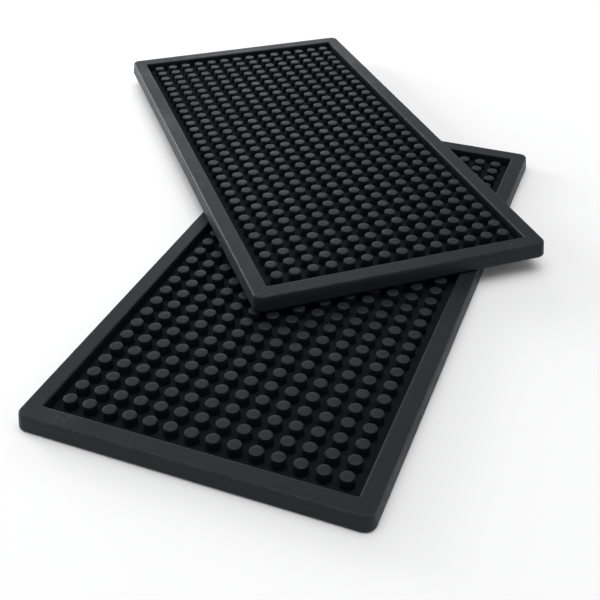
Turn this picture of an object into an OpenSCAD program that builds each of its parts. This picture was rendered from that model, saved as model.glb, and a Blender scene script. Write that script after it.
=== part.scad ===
// Two identical moulded rubber spill mats, one lying crossed on the other.
// Each mat is a shallow tray with a raised flat rim and a grid of round studs.
// Origin: centre of the lower mat's underside. Its length runs along Y, +Z is up.

/* [Mat] */
// Width of a mat at its underside
mat_w = 152; // [150:1:160]
// Length of a mat at its underside
mat_l = 303; // [298:1:310]
// Thickness of a mat
mat_t = 8; // [7:0.5:12]
// Radius of the corners in plan
corner_r = 5; // [3:0.5:7]
// How far each side wall leans in from bottom to top
wall_lean = 1; // [0.5:0.25:2]
// Bevel around the underside
foot_bevel = 0.8; // [0.4:0.1:1.2]
// Bevel around the top of the outer wall
top_bevel = 0.5; // [0.3:0.1:1]

/* [Studs] */
// Studs across the mat
studs_across = 14; // [6:1:14]
// Studs along the mat
studs_along = 30; // [10:1:30]
// Distance from one stud to the next
stud_pitch = 9.2; // [8:0.05:9.25]
// Diameter of a stud
stud_d = 6; // [4:0.1:6.5]
// How far the stud tops lie below the top of the rim
stud_drop = 0.6; // [0.2:0.1:2]
// Bevel around the top of a stud
stud_bevel = 0.4; // [0.1:0.1:0.6]

/* [Tray] */
// Thickness of the floor between the studs
floor_t = 2.4; // [1.5:0.1:3]
// Gap between the outer studs and the rim along each side
side_moat = 4.3; // [4.1:0.1:6]
// Gap between the outer studs and the rim at each end
end_moat = 5.5; // [4.1:0.1:7]
// Bevel around the top of the recess
mouth_bevel = 0.5; // [0.2:0.1:1]

/* [How the upper mat lies] */
// Turn of the upper mat against the lower one
cross_angle = 40; // [0:1:90]
// Centre of the upper mat, sideways from the lower mat's centre
cross_x = -51; // [-70:1:0]
// Centre of the upper mat, along the lower mat from its centre
cross_y = 110; // [0:1:140]

/* [Hidden] */
$fn = 48;

rubber = "#2b2c2e";
rubber_worn = "#46484a";

// Stud field and the recess around it
field_w = (studs_across - 1) * stud_pitch + stud_d;
field_l = (studs_along - 1) * stud_pitch + stud_d;
recess_w = field_w + 2 * side_moat;
recess_l = field_l + 2 * end_moat;

// Heights
stud_top = mat_t - stud_drop;
patch_t = floor_t / 3;
patch_bottom = floor_t - patch_t;

// Lean of the outer wall for each millimetre of height
lean = wall_lean / mat_t;

// How far a slab reaches past a face that it cuts
cut = 1;

// Half outline of a straight-sided slice across the mat, from its middle to the outer wall
module slice_outline(half, z0, z1) {
  points = [
    [0, z0],
    if (z0 == 0) [half - foot_bevel, 0],
    if (z0 == 0) [half - lean * foot_bevel, foot_bevel] else [half - lean * z0, z0],
    if (z1 == mat_t) [half - lean * (mat_t - top_bevel), mat_t - top_bevel] else [half - lean * z1, z1],
    if (z1 == mat_t) [half - wall_lean - top_bevel, mat_t],
    [0, z1]
  ];
  polygon(points);
}

// Both halves of that slice, standing upright and drawn out along Y
module slab_along(half, z0, z1, length) {
  for (side = [0, 1])
    mirror([side, 0, 0])
      rotate([90, 0, 0])
        linear_extrude(length, center = true)
          slice_outline(half, z0, z1);
}

// Block of a mat's outer shape between two heights, with leaning walls and round corners
module mat_block(z0, z1) {
  straight_w = mat_w - 2 * corner_r;
  straight_l = mat_l - 2 * corner_r;
  slab_along(mat_w / 2, z0, z1, straight_l);
  rotate([0, 0, 90])
    slab_along(mat_l / 2, z0, z1, straight_w);
  for (x = [-1, 1], y = [-1, 1])
    translate([x * straight_w / 2, y * straight_l / 2, 0])
      rotate_extrude()
        slice_outline(corner_r, z0, z1);
}

module box_between(width, length, z0, z1) {
  translate([-width / 2, -length / 2, z0])
    cube([width, length, z1 - z0]);
}

// Underside and floor, with the shallow pocket that the studs' patch fills
module sheet() {
  difference() {
    mat_block(0, floor_t);
    box_between(field_w, field_l, patch_bottom, floor_t + cut);
  }
}

// Trough that widens upwards from the bevel's lower edge, drawn out along Y
module flare_along(width, length) {
  rise = mouth_bevel + cut;
  rotate([90, 0, 0])
    linear_extrude(length, center = true)
      translate([0, mat_t - mouth_bevel])
        polygon([[-width / 2, 0], [width / 2, 0], [width / 2 + rise, rise], [-width / 2 - rise, rise]]);
}

// Raised border around the recess, bevelled where the recess opens
module rim() {
  difference() {
    mat_block(floor_t, mat_t);
    box_between(recess_w, recess_l, floor_t - cut, mat_t + cut);
    intersection() {
      flare_along(recess_w, mat_l);
      rotate([0, 0, 90])
        flare_along(recess_l, mat_l);
    }
  }
}

module stud() {
  side_h = stud_top - stud_bevel - floor_t;
  cylinder(h = side_h, d = stud_d);
  translate([0, 0, side_h])
    cylinder(h = stud_bevel, d1 = stud_d, d2 = stud_d - 2 * stud_bevel);
}

// Patch of floor with all its studs
module studs() {
  box_between(field_w, field_l, patch_bottom, floor_t);
  for (i = [0 : studs_across - 1], j = [0 : studs_along - 1])
    translate([
      (i - (studs_across - 1) / 2) * stud_pitch,
      (j - (studs_along - 1) / 2) * stud_pitch,
      floor_t
    ])
      stud();
}

// Moves a piece to where the upper mat lies
module on_top() {
  translate([cross_x, cross_y, mat_t])
    rotate([0, 0, cross_angle])
      children();
}

module lower_sheet() {
  color(rubber) sheet();
}

module lower_rim() {
  color(rubber) rim();
}

module lower_studs() {
  color(rubber_worn) studs();
}

module upper_sheet() {
  color(rubber) on_top() sheet();
}

module upper_rim() {
  color(rubber) on_top() rim();
}

module upper_studs() {
  color(rubber_worn) on_top() studs();
}

lower_sheet();
lower_rim();
lower_studs();
upper_sheet();
upper_rim();
upper_studs();
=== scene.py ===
"""Looks of a pair of studded rubber mats: detailed meshes, black rubber, floor, lights and camera.

Each mat is three pieces, one for each of its CAD nodes: a sheet, a rim and the patch of studs.
They are built in the mat's own frame (its length along Y, its underside at z = 0) and then
placed where the CAD has the mat.
"""

import math

import bpy
import numpy as np
from mathutils import Matrix, Vector


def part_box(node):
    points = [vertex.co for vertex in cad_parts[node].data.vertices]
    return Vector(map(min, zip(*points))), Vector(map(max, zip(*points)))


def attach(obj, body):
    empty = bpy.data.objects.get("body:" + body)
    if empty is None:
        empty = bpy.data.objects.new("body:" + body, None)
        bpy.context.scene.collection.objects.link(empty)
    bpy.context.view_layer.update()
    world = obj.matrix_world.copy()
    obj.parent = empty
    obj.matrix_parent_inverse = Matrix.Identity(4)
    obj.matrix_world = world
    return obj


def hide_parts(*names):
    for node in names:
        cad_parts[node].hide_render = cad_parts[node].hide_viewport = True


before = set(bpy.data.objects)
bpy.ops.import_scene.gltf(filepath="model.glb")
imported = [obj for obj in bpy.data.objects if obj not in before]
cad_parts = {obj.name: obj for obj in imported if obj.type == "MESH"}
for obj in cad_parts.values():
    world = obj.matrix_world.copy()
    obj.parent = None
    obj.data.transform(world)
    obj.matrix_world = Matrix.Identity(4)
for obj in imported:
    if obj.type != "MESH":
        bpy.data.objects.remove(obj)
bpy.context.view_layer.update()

# Sizes, in metres. What the CAD boxes give is read from them.
MM = 0.001
STUDS_ACROSS = 14
STUDS_ALONG = 30
STUD_RADIUS = 3 * MM
SIDE_MOAT = 4.3 * MM
END_MOAT = 5.5 * MM
CORNER_RADIUS = 5 * MM
WALL_LEAN = 0.9 * MM
FOOT_ROUND = 1.2 * MM
TOP_ROUND = 0.7 * MM
INNER_ROUND = 0.8 * MM
INNER_FILLET = 0.5 * MM
STUD_ROUND = 0.28 * MM
STUD_FILLET = 0.45 * MM
STUD_DRAFT = 0.08 * MM
STUD_DOME = 0.03 * MM
WALL_WAVE = 0.05 * MM
SUPPORT = 0.25 * MM  # from a rounded edge to the loop that keeps the face beside it flat
CROSS_ANGLE = math.radians(40)

# W and L are half of a width or a length, and Z is a height, in a mat's own frame
sheet_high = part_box("lower_sheet")[1]
studs_low, studs_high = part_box("lower_studs")
HALF_W, HALF_L, FLOOR_Z = sheet_high
RIM_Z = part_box("lower_rim")[1][2]
STUD_Z = studs_high[2]
PATCH_Z = studs_low[2]
PITCH = 2 * (studs_high[0] - STUD_RADIUS) / (STUDS_ACROSS - 1)
RECESS_W = studs_high[0] + SIDE_MOAT
RECESS_L = studs_high[1] + END_MOAT
PATCH_W = STUDS_ACROSS * PITCH / 2
PATCH_L = STUDS_ALONG * PITCH / 2

CORNER_STEPS = 14
STUD_SIDES = 24
STUD_ARC_STEPS = 2
WELD = 0.001 * MM  # points closer than this are one point


# ---------------------------------------------------------------- meshes


def make_object(name, verts, faces, zones, smooth_below=40):
    """A mesh object. zones holds, for each vertex, how much it is an edge, a top and a floor; the
    floor share also lays painted shade on the colour.
    """
    mesh = bpy.data.meshes.new(name)
    mesh.from_pydata(verts.tolist(), [], faces)
    mesh.validate()
    mesh.shade_smooth()
    mesh.set_sharp_from_angle(angle=math.radians(smooth_below))
    zone = mesh.attributes.new("zone", "FLOAT_COLOR", "POINT")
    rgba = np.column_stack([zones, np.ones(len(zones))])
    zone.data.foreach_set("color", rgba.astype(np.float32).ravel())
    obj = bpy.data.objects.new(name, mesh)
    bpy.context.scene.collection.objects.link(obj)
    return obj


def side_stops(half, radius):
    """Places along a straight side, evenly spaced between its two round corners."""
    count = round(half / PITCH)
    return np.linspace(-(half - radius), half - radius, count + 2)[1:-1]


def loop_around(half_w, half_l, radius, z):
    """Points of a rounded rectangle, anticlockwise, with as many points for every size."""
    points = []
    for quarter in range(4):
        turn = quarter * math.pi / 2
        a, b = (half_w, half_l) if quarter % 2 == 0 else (half_l, half_w)
        angles = np.linspace(0, math.pi / 2, CORNER_STEPS + 1)
        corner = np.column_stack(
            [a - radius + radius * np.cos(angles), b - radius + radius * np.sin(angles)]
        )
        half = HALF_L if quarter % 2 else HALF_W
        stops = side_stops(half, CORNER_RADIUS) / (half - CORNER_RADIUS) * (a - radius)
        side = np.column_stack([stops[::-1], np.full(len(stops), b)])
        c, s = math.cos(turn), math.sin(turn)
        for x, y in np.vstack([corner, side]):
            points.append((c * x - s * y, s * x + c * y, z))
    return np.array(points)


def wall_wave(points, amount):
    """Moves points a little along X and Y, as the sides of a moulded rubber mat waver.

    The ripples are 20 to 150 mm long, and change a little with height.
    """
    x, y, z = points.T
    ripple_x = np.sin(41 * y + 3 * np.sin(17 * y)) + 0.5 * np.sin(97 * y + 260 * z)
    ripple_y = np.sin(53 * x + 2) + 0.5 * np.sin(121 * x + 310 * z)
    shift = np.column_stack([np.sign(x) * ripple_x, np.sign(y) * ripple_y, 0 * z])
    return points + amount * shift


def arc(centre_a, centre_z, radius, start, end, steps):
    """Points (a, z) on an arc, in degrees, where a is measured outwards."""
    angles = np.radians(np.linspace(start, end, steps + 1))
    return [(centre_a + radius * math.cos(t), centre_z + radius * math.sin(t)) for t in angles]


def loops_mesh(loops, closed):
    """Faces between successive loops, wrapped round to the first or capped at both ends."""
    count = len(loops[0])
    faces = []
    for k in range(len(loops) if closed else len(loops) - 1):
        a, b = k * count, (k + 1) % len(loops) * count
        for i in range(count):
            j = (i + 1) % count
            faces.append((a + i, a + j, b + j, b + i))
    if not closed:
        faces.append(tuple(range(count))[::-1])
        last = (len(loops) - 1) * count
        faces.append(tuple(range(last, last + count)))
    return np.vstack(loops), faces


def outer_loop(inset, z, wave=1.0):
    """A loop round the mat, set in from its widest outline, wavering by a share of WALL_WAVE."""
    loop = loop_around(HALF_W - inset, HALF_L - inset, CORNER_RADIUS - inset, z)
    return wall_wave(loop, WALL_WAVE * wave)


def wall_inset(z):
    """How far the leaning outer wall stands in from the foot's widest line at height z."""
    return WALL_LEAN * max(0.0, z - FOOT_ROUND) / (RIM_Z - FOOT_ROUND)


def sheet_mesh(name):
    """The underside, its rounded foot, the floor, and the pocket that the studs' patch fills."""
    sharp = 0.02 * MM
    underside_inset = 9 * MM
    foot_inset = FOOT_ROUND + 0.3 * MM
    wall_start = FOOT_ROUND + 0.4 * MM
    loops = [outer_loop(underside_inset, 0, wave=0), outer_loop(foot_inset, 0, wave=0)]
    zones = [(0, 0, 0), (0, 0, 0)]
    for out, z in arc(-FOOT_ROUND, FOOT_ROUND, FOOT_ROUND, -90, 0, 6):
        loops.append(outer_loop(-out, z, wave=z / FOOT_ROUND))
        zones.append((0.5, 0, 0))
    loops.append(outer_loop(wall_inset(wall_start), wall_start))
    loops.append(outer_loop(wall_inset(FLOOR_Z), FLOOR_Z))
    loops.append(loop_around(RECESS_W, RECESS_L, sharp, FLOOR_Z))
    loops.append(loop_around(PATCH_W, PATCH_L, sharp, FLOOR_Z))
    loops.append(loop_around(PATCH_W, PATCH_L, sharp, PATCH_Z))
    zones += [(0, 0, 0), (0, 0, 0), (0, 0, 1), (0, 0, 1), (0, 0, 1)]
    verts, faces = loops_mesh(loops, closed=False)
    return make_object(name, verts, faces, np.repeat(zones, len(loops[0]), axis=0))


def rim_mesh(name):
    """The raised border: leaning outer wall, flat top, inner wall and its fillet to the floor."""
    inner_corner = 0.4 * MM
    loops, zones = [], []

    def add(loop, edge=0.0, top=0.0, floor=0.0):
        loops.append(loop)
        zones.append((edge, top, floor))

    def inner(out, z):
        return loop_around(RECESS_W + out, RECESS_L + out, inner_corner + max(out, 0), z)

    top_z = RIM_Z - TOP_ROUND
    for z in np.linspace(FLOOR_Z, top_z - SUPPORT, 4):
        add(outer_loop(wall_inset(z), z))
    for out, z in arc(-WALL_LEAN - TOP_ROUND, top_z, TOP_ROUND, 0, 90, 6):
        fade = (RIM_Z - z) / TOP_ROUND
        add(outer_loop(-out, z, wave=fade), edge=1, top=1 - fade)
    add(outer_loop(WALL_LEAN + TOP_ROUND + SUPPORT, RIM_Z, wave=0), top=1)
    add(inner(INNER_ROUND + SUPPORT, RIM_Z), top=1)
    for out, z in arc(INNER_ROUND, RIM_Z - INNER_ROUND, INNER_ROUND, 90, 180, 6):
        add(inner(out, z), edge=1, top=0.5)
    add(inner(0, RIM_Z - INNER_ROUND - SUPPORT))
    # Painted shade: the fillet at the foot of the inner wall is in the floor zone, so it is
    # darkened as shade
    for out, z in arc(-INNER_FILLET, FLOOR_Z + INNER_FILLET, INNER_FILLET, 0, -90, 5):
        add(inner(out, z), floor=1)
    verts, faces = loops_mesh(loops, closed=True)
    return make_object(name, verts, faces, np.repeat(zones, len(loops[0]), axis=0))


def stud_rings():
    """(radius, height, zone) of each ring of a stud, from the floor up."""
    shoulder = STUD_Z - STUD_DOME - STUD_ROUND
    upper_radius = STUD_RADIUS - STUD_DRAFT
    flat_radius = upper_radius - STUD_ROUND
    fillet_z = FLOOR_Z + STUD_FILLET
    rings = []
    for out, z in arc(STUD_RADIUS + STUD_FILLET, fillet_z, STUD_FILLET, 270, 180, STUD_ARC_STEPS):
        rings.append((out, z, (0, 0, 1)))
    rings.append((STUD_RADIUS, fillet_z + SUPPORT, (0, 0, 1)))
    # Painted shade: the stud's side carries part of the floor zone, which darkens it as shade
    # between the studs
    rings.append((upper_radius, shoulder - SUPPORT, (0, 0, 0.4)))
    for out, z in arc(flat_radius, shoulder, STUD_ROUND, 0, 90, STUD_ARC_STEPS):
        fade = (z - shoulder) / STUD_ROUND
        rings.append((out, z, (0.4, fade, 0.4 - 0.4 * fade)))
    rings.append((flat_radius / 2, STUD_Z - STUD_DOME / 4, (0, 1, 0)))
    return rings


def studs_mesh(name):
    """The patch of floor and all the studs, as one closed mesh."""
    # One stud on its square of floor
    angles = math.pi / 4 + np.arange(STUD_SIDES) * 2 * math.pi / STUD_SIDES
    rays = np.column_stack([np.cos(angles), np.sin(angles)])
    square = rays / np.abs(rays).max(axis=1, keepdims=True) * PITCH / 2
    rings = stud_rings()
    cell = [np.column_stack([square, np.full(STUD_SIDES, FLOOR_Z)])]
    zone = [np.tile((0, 0, 1), (STUD_SIDES, 1))]
    for radius, z, ring_zone in rings:
        cell.append(np.column_stack([rays * radius, np.full(STUD_SIDES, z)]))
        zone.append(np.tile(ring_zone, (STUD_SIDES, 1)))
    cell.append([(0, 0, STUD_Z)])
    zone.append([(0, 1, 0)])
    cell, zone = np.vstack(cell), np.vstack(zone)
    band = [(i, (i + 1) % STUD_SIDES) for i in range(STUD_SIDES)]
    cell_faces = [
        (k * STUD_SIDES + i, k * STUD_SIDES + j, (k + 1) * STUD_SIDES + j, (k + 1) * STUD_SIDES + i)
        for k in range(len(rings))
        for i, j in band
    ]
    last, centre = len(rings) * STUD_SIDES, (len(rings) + 1) * STUD_SIDES
    cell_faces += [(last + i, last + j, centre) for i, j in band]

    # Copies of it, joined where the squares meet
    columns = (np.arange(STUDS_ACROSS) - (STUDS_ACROSS - 1) / 2) * PITCH
    rows = (np.arange(STUDS_ALONG) - (STUDS_ALONG - 1) / 2) * PITCH
    verts = np.vstack([cell + (x, y, 0) for y in rows for x in columns])
    zones = np.tile(zone, (STUDS_ACROSS * STUDS_ALONG, 1))
    cells = np.round(verts / WELD).astype(np.int64)
    _, first, merged = np.unique(cells, axis=0, return_index=True, return_inverse=True)
    merged = merged.ravel()
    verts, zones = verts[first], zones[first]
    faces = []
    for n in range(STUDS_ACROSS * STUDS_ALONG):
        base = n * len(cell)
        faces += [tuple(merged[base + i] for i in face) for face in cell_faces]

    # The open border, drawn down to the bottom of the patch and closed there
    edges = {(a, b): True for face in faces for a, b in zip(face, face[1:] + face[:1])}
    follow = {b: a for a, b in edges if (b, a) not in edges}
    start = next(iter(follow))
    border = [start]
    while follow[border[-1]] != start:
        border.append(follow[border[-1]])
    lower = verts[border].copy()
    lower[:, 2] = PATCH_Z
    base = len(verts)
    verts = np.vstack([verts, lower])
    zones = np.vstack([zones, zones[border]])
    count = len(border)
    for i in range(count):
        j = (i + 1) % count
        faces.append((border[i], border[j], base + j, base + i))
    faces.append(tuple(range(base, base + count)))
    return make_object(name, verts, faces, zones)


# ---------------------------------------------------------------- rubber


# Colours of the rubber, linear RGBA; the darkest one is painted shade for the recess
DARK = (0.0055, 0.0062, 0.0084, 1)
DARK_CLOUD = (0.0082, 0.0090, 0.0117, 1)
MOTTLE = (0.0115, 0.0124, 0.0153, 1)
# Painted shade: a near-black laid on the floor between the studs and on the studs' sides, where
# they shade each other
RECESS_SHADE = (0.0020, 0.0022, 0.0028, 1)
WORN = (0.0400, 0.0405, 0.0425, 1)
STREAK = (0.0420, 0.0420, 0.0440, 1)
SCUFF = (0.0950, 0.0930, 0.0960, 1)


class Nodes:
    """Short calls for building a node tree. A key of digits is a socket's number."""

    def __init__(self, owner):
        owner.use_nodes = True
        self.tree = owner.node_tree
        self.tree.nodes.clear()

    def add(self, kind, settings=None, **inputs):
        node = self.tree.nodes.new(kind)
        for key, value in (settings or {}).items():
            setattr(node, key, value)
        for key, value in inputs.items():
            self.plug(node, key.replace("_", " "), value)
        return node

    def plug(self, node, key, value):
        socket = node.inputs[int(key)] if key.isdigit() else node.inputs[key]
        if isinstance(value, bpy.types.NodeSocket):
            self.tree.links.new(value, socket)
        else:
            socket.default_value = value

    def math(self, operation, a, b=0.0, clamp=False):
        node = self.add("ShaderNodeMath", {"operation": operation, "use_clamp": clamp})
        self.plug(node, "0", a)
        self.plug(node, "1", b)
        return node.outputs[0]

    def noise(self, vector, scale, detail=3.0, roughness=0.5):
        settings = {"Vector": vector, "Scale": scale, "Detail": detail, "Roughness": roughness}
        return self.add("ShaderNodeTexNoise", **settings).outputs["Fac"]

    def fit(self, value, low, high, to_low, to_high):
        """Maps low..high to to_low..to_high, and holds the ends."""
        node = self.add("ShaderNodeMapRange", {"clamp": True}, Value=value)
        for key, number in (("1", low), ("2", high), ("3", to_low), ("4", to_high)):
            self.plug(node, key, number)
        return node.outputs[0]

    def blend(self, factor, a, b):
        node = self.add("ShaderNodeMix", {"data_type": "RGBA"})
        self.plug(node, "0", factor)
        self.plug(node, "6", a)
        self.plug(node, "7", b)
        return node.outputs[2]


def rubber(name, offset, scuff_at):
    """Black moulded rubber: satin skin, fine grain, paler worn edges, a rubbed spot, and painted
    shade darkening the floor between the studs and the studs' sides.

    offset moves the patterns, so that two mats don't have the same ones.
    """
    material = bpy.data.materials.new(name)
    n = Nodes(material)
    place = n.add("ShaderNodeTexCoord").outputs["Object"]
    moved = n.add("ShaderNodeVectorMath", {"operation": "ADD"})
    n.plug(moved, "0", place)
    n.plug(moved, "1", offset)
    where = moved.outputs[0]
    zone = n.add("ShaderNodeAttribute", {"attribute_name": "zone"})
    split = n.add("ShaderNodeSeparateColor")
    n.plug(split, "0", zone.outputs["Color"])
    edge, top, floor = split.outputs[0], split.outputs[1], split.outputs[2]

    cloud = n.noise(where, 28, 4)
    mottle = n.noise(where, 240, 3)
    grain = n.noise(where, 2600, 2, 0.6)
    pits = n.add("ShaderNodeTexVoronoi", {"feature": "F1"}, Vector=where, Scale=1500.0)
    pits = pits.outputs["Distance"]

    # Rubbed streaks on the tops
    stretched = n.add("ShaderNodeMapping", Vector=where)
    stretched.inputs["Rotation"].default_value = (0, 0, 0.6)
    stretched.inputs["Scale"].default_value = (1, 14, 1)
    streaks = n.noise(stretched.outputs[0], 60, 5, 0.65)
    streak = n.math("MULTIPLY", n.fit(streaks, 0.62, 0.74, 0, 1), top)

    # One rubbed spot on the rim
    span = n.add("ShaderNodeVectorMath", {"operation": "DISTANCE"})
    n.plug(span, "0", place)
    n.plug(span, "1", scuff_at)
    near = n.fit(span.outputs["Value"], 0.003, 0.011, 1, 0)
    flecks = n.fit(n.noise(where, 420, 5, 0.7), 0.52, 0.66, 0, 1)
    scuff = n.math("MULTIPLY", n.math("MULTIPLY", near, flecks), top)

    # Wear on the edges, then the colours from the darkest up
    worn = n.math("MULTIPLY", edge, n.fit(n.noise(where, 130, 4), 0.35, 0.65, 0.2, 1))
    dark = n.blend(n.fit(cloud, 0.3, 0.7, 0, 1), DARK, DARK_CLOUD)
    skin = n.blend(n.fit(mottle, 0.3, 0.7, 0, 0.35), dark, MOTTLE)
    # Painted shade: the floor zone darkens the floor, the foot of the inner wall and the lower stud
    # sides towards the near-black shade colour
    skin = n.blend(n.math("MULTIPLY", floor, 0.85), skin, RECESS_SHADE)
    skin = n.blend(n.math("MULTIPLY", worn, 0.30), skin, WORN)
    skin = n.blend(n.math("MULTIPLY", streak, 0.30), skin, STREAK)
    skin = n.blend(n.math("MULTIPLY", scuff, 0.35), skin, SCUFF)

    rough = n.fit(cloud, 0.3, 0.7, 0.44, 0.54)
    rough = n.math("ADD", rough, n.fit(mottle, 0.3, 0.7, -0.04, 0.05))
    rough = n.math("ADD", rough, n.math("MULTIPLY", floor, 0.36))
    rough = n.math("ADD", rough, n.math("MULTIPLY", streak, 0.10))
    rough = n.math("SUBTRACT", rough, n.math("MULTIPLY", worn, 0.06), clamp=True)

    height = n.math("ADD", n.math("MULTIPLY", grain, 0.6), n.math("MULTIPLY", pits, 0.5))
    fine = n.add("ShaderNodeBump", Strength=0.35, Distance=0.00006, Height=height)
    broad = n.add("ShaderNodeBump", Strength=0.30, Distance=0.0004, Height=mottle)
    n.plug(broad, "Normal", fine.outputs[0])

    shader = n.add("ShaderNodeBsdfPrincipled", Base_Color=skin, Roughness=rough)
    n.plug(shader, "Normal", broad.outputs[0])
    shader.inputs["IOR"].default_value = 1.45
    shader.inputs["Specular IOR Level"].default_value = 0.27
    shader.inputs["Specular Tint"].default_value = (0.88, 0.92, 1.0, 1)
    n.plug(n.add("ShaderNodeOutputMaterial"), "Surface", shader.outputs[0])
    return material


# ---------------------------------------------------------------- the two mats


def build_mat(name, place, offset, scuff_at):
    """One mat, in place of its three CAD nodes. scuff_at is in the mat's own frame."""
    skin = rubber(name + "_rubber", offset, scuff_at)
    for node, make in (("sheet", sheet_mesh), ("rim", rim_mesh), ("studs", studs_mesh)):
        piece = make(f"{name}_mat_{node}")
        piece.data.materials.append(skin)
        piece.matrix_world = place
        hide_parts(f"{name}_{node}")
        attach(piece, f"{name}_mat")


upper_low, upper_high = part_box("upper_sheet")
upper_centre = (Vector(upper_low) + Vector(upper_high)) / 2
upper_shift = Matrix.Translation((upper_centre.x, upper_centre.y, RIM_Z))
upper_place = upper_shift @ Matrix.Rotation(CROSS_ANGLE, 4, "Z")

build_mat("lower", Matrix.Identity(4), (0, 0, 0), (-0.054, -0.144, RIM_Z))
build_mat("upper", upper_place, (1.37, 0.61, 0.2), (0.054, -0.144, RIM_Z))


# ---------------------------------------------------------------- floor, light, camera


def make_floor():
    """A pale disc, so wide that its edge lies at the horizon from every side."""
    radius, sides = 12.0, 96
    turns = np.arange(sides) * 2 * math.pi / sides
    corners = [(radius * math.cos(t), radius * math.sin(t), 0) for t in turns]
    mesh = bpy.data.meshes.new("studio_floor")
    mesh.from_pydata(corners, [], [tuple(range(sides))])
    floor = bpy.data.objects.new("studio_floor", mesh)
    bpy.context.scene.collection.objects.link(floor)
    material = bpy.data.materials.new("studio_floor")
    n = Nodes(material)
    shader = n.add("ShaderNodeBsdfPrincipled", Base_Color=(0.91, 0.91, 0.915, 1), Roughness=0.85)
    n.plug(n.add("ShaderNodeOutputMaterial"), "Surface", shader.outputs[0])
    mesh.materials.append(material)


def make_light(name, place, target, size, watts):
    """A round soft lamp, turned to the target."""
    lamp = bpy.data.lights.new(name, "AREA")
    lamp.shape = "DISK"
    lamp.size = size
    lamp.energy = watts
    obj = bpy.data.objects.new(name, lamp)
    obj.location = place
    obj.rotation_mode = "QUATERNION"
    obj.rotation_quaternion = (Vector(target) - Vector(place)).to_track_quat("-Z", "Y")
    bpy.context.scene.collection.objects.link(obj)


def make_world(horizon, middle, zenith):
    """Soft white light: bright overhead, dim half-way up, and bright again low down on the left."""
    world = bpy.data.worlds.new("studio")
    n = Nodes(world)
    direction = n.add("ShaderNodeTexCoord").outputs["Generated"]
    way = n.add("ShaderNodeSeparateXYZ", Vector=direction).outputs
    left = n.fit(way["X"], -0.5, 0.3, 1, 0.6)
    low = n.math("MULTIPLY", n.fit(way["Z"], 0.25, 0.65, horizon, middle), left)
    high = n.fit(way["Z"], 0.75, 0.95, 0, zenith - middle)
    level = n.math("ADD", low, high)
    background = n.add("ShaderNodeBackground", Strength=level)
    n.plug(n.add("ShaderNodeOutputWorld"), "Surface", background.outputs[0])
    bpy.context.scene.world = world


def make_camera(target, azimuth, elevation, distance, lens):
    """The scene's camera. Azimuth 0 looks along +Y, and grows towards a view along -X."""
    data = bpy.data.cameras.new("camera")
    data.lens = lens
    data.sensor_width = 36
    data.clip_start, data.clip_end = 0.01, 20
    camera = bpy.data.objects.new("camera", data)
    a, e = math.radians(azimuth), math.radians(elevation)
    back = Vector((math.sin(a) * math.cos(e), -math.cos(a) * math.cos(e), math.sin(e)))
    camera.location = Vector(target) + back * distance
    camera.rotation_mode = "QUATERNION"
    camera.rotation_quaternion = (-back).to_track_quat("-Z", "Y")
    bpy.context.scene.collection.objects.link(camera)
    bpy.context.scene.camera = camera


make_floor()
make_world(horizon=1.25, middle=0.22, zenith=3.3)
make_light("light_back", (-0.5, 1.0, 0.5), (-0.05, 0.15, 0), 0.5, 1.2)
make_light("light_left", (-1.1, 0.3, 0.20), (0, 0.05, 0), 0.5, 9)
make_light("light_right", (1.1, 0.1, 0.4), (0, 0.05, 0), 0.5, 0.6)
make_camera(target=(-0.001, -0.026, 0), azimuth=21.3, elevation=35.7, distance=0.452, lens=56.4)
bpy.context.scene.view_settings.view_transform = "Standard"
